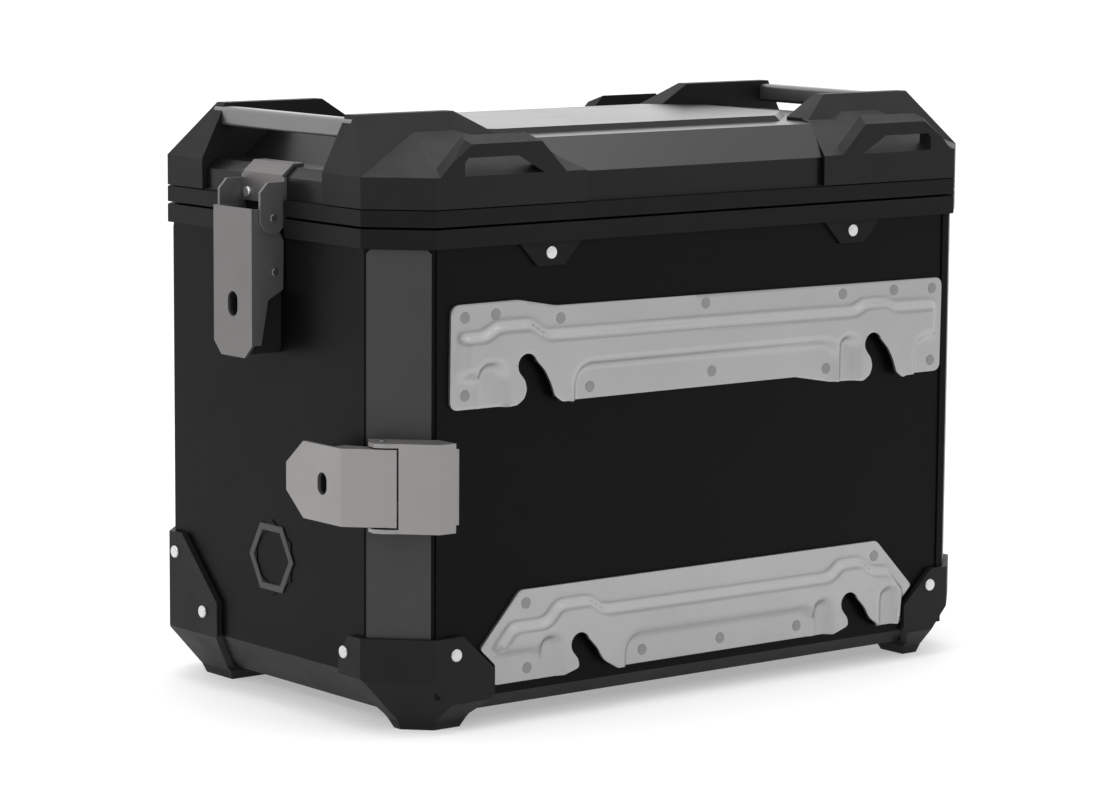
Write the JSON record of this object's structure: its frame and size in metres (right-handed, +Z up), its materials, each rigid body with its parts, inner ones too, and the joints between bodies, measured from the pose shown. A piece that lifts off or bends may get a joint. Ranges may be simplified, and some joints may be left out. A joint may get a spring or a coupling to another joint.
{
  "type": "motorcycle side case",
  "caption": "Hard side case for a motorcycle: chamfered metal box, hinged lid with grab rails and lashing loops, lever latches, corner guards and pressed mounting plates.",
  "frame": {"origin": "on the floor under the middle of the case's box", "axes": "+X along the case towards the lid's hinge end, -Y towards the motorcycle (mounting plates), +Z up"},
  "size_m": [0.529, 0.2914, 0.3713],
  "materials": {
    "body_paint": "semi-gloss black powder coat",
    "strip_paint": "satin black film",
    "lid_paint": "satin black powder coat",
    "frame_paint": "satin black powder coat",
    "moulded_plastic": "fine-grained matte black",
    "plate_aluminium": "satin, lightly brushed",
    "rivet_aluminium": "satin",
    "screw_steel": "polished",
    "rail_aluminium": "satin anodised",
    "seal_rubber": "soft matte",
    "lock_plastic": "matte black",
    "pin_steel": "turned",
    "latch_steel": "blasted, warm grey"
  },
  "bodies": {
    "case": {"carrier_latch_bracket": "latch_steel", "carrier_latch_pin": "pin_steel", "carrier_latch_rivets": "rivet_aluminium", "carrier_lock_housing": "lock_plastic", "case_shell": "body_paint", "collar_rivets": "rivet_aluminium", "corner_guard_front_left": "moulded_plastic", "corner_guard_front_right": "moulded_plastic", "corner_guard_rear_left": "moulded_plastic", "corner_guard_rear_right": "moulded_plastic", "guard_rivets": "rivet_aluminium", "left_body_catch": "latch_steel", "left_catch_rivets": "rivet_aluminium", "left_lock_housing": "lock_plastic", "lower_mount_plate": "plate_aluminium", "lower_plate_rivets": "rivet_aluminium", "right_body_catch": "latch_steel", "right_catch_pin": "pin_steel", "right_catch_rivets": "rivet_aluminium", "right_latch_lever": "latch_steel", "right_lock_housing": "lock_plastic", "top_collar": "frame_paint", "upper_mount_plate": "plate_aluminium", "upper_plate_rivets": "rivet_aluminium", "wear_strip_front_left": "strip_paint", "wear_strip_front_right": "strip_paint", "wear_strip_rear_left": "strip_paint", "wear_strip_rear_right": "strip_paint"},
    "lid": {"lid_shell": "lid_paint", "lid_frame": "frame_paint", "lid_seal": "seal_rubber", "grab_rail_left": "rail_aluminium", "grab_rail_right": "rail_aluminium", "left_latch_bracket": "latch_steel", "right_latch_bracket": "latch_steel", "left_bracket_screws": "screw_steel", "right_bracket_screws": "screw_steel", "left_hinge_pin": "pin_steel", "right_hinge_pin": "pin_steel", "lid_cap_front_left": "moulded_plastic", "lid_cap_front_right": "moulded_plastic", "lid_cap_rear_left": "moulded_plastic", "lid_cap_rear_right": "moulded_plastic"},
    "left_lever": {"left_latch_lever": "latch_steel", "left_catch_pin": "pin_steel"},
    "carrier_lever": {"carrier_latch_lever": "latch_steel"},
    "claw": {"carrier_latch_claw": "latch_steel"}
  },
  "joints": [
    {"name": "lid_hinge", "type": "hinge", "parent": "case", "child": "lid", "pos_m": [0.2501, 0.0077, 0.3068], "axis": [0, 1, 0], "range_deg": [0, 90]},
    {"name": "left_lever_hinge", "type": "hinge", "parent": "lid", "child": "left_lever", "pos_m": [-0.2501, 0.0077, 0.3068], "axis": [0, 1, 0], "range_deg": [0, 90]},
    {"name": "carrier_lever_hinge", "type": "hinge", "parent": "case", "child": "carrier_lever", "pos_m": [-0.2393, -0.1131, 0.1535], "axis": [0, 0, 1], "range_deg": [0, 70]},
    {"name": "claw_slide", "type": "slide", "parent": "case", "child": "claw", "axis": [1, 0, 0], "range_m": [0, 0.008]}
  ],
  "couplings": [
    {"joint": "claw_slide", "follows": "carrier_lever_hinge", "m_per_rad": 0.0065}
  ]
}
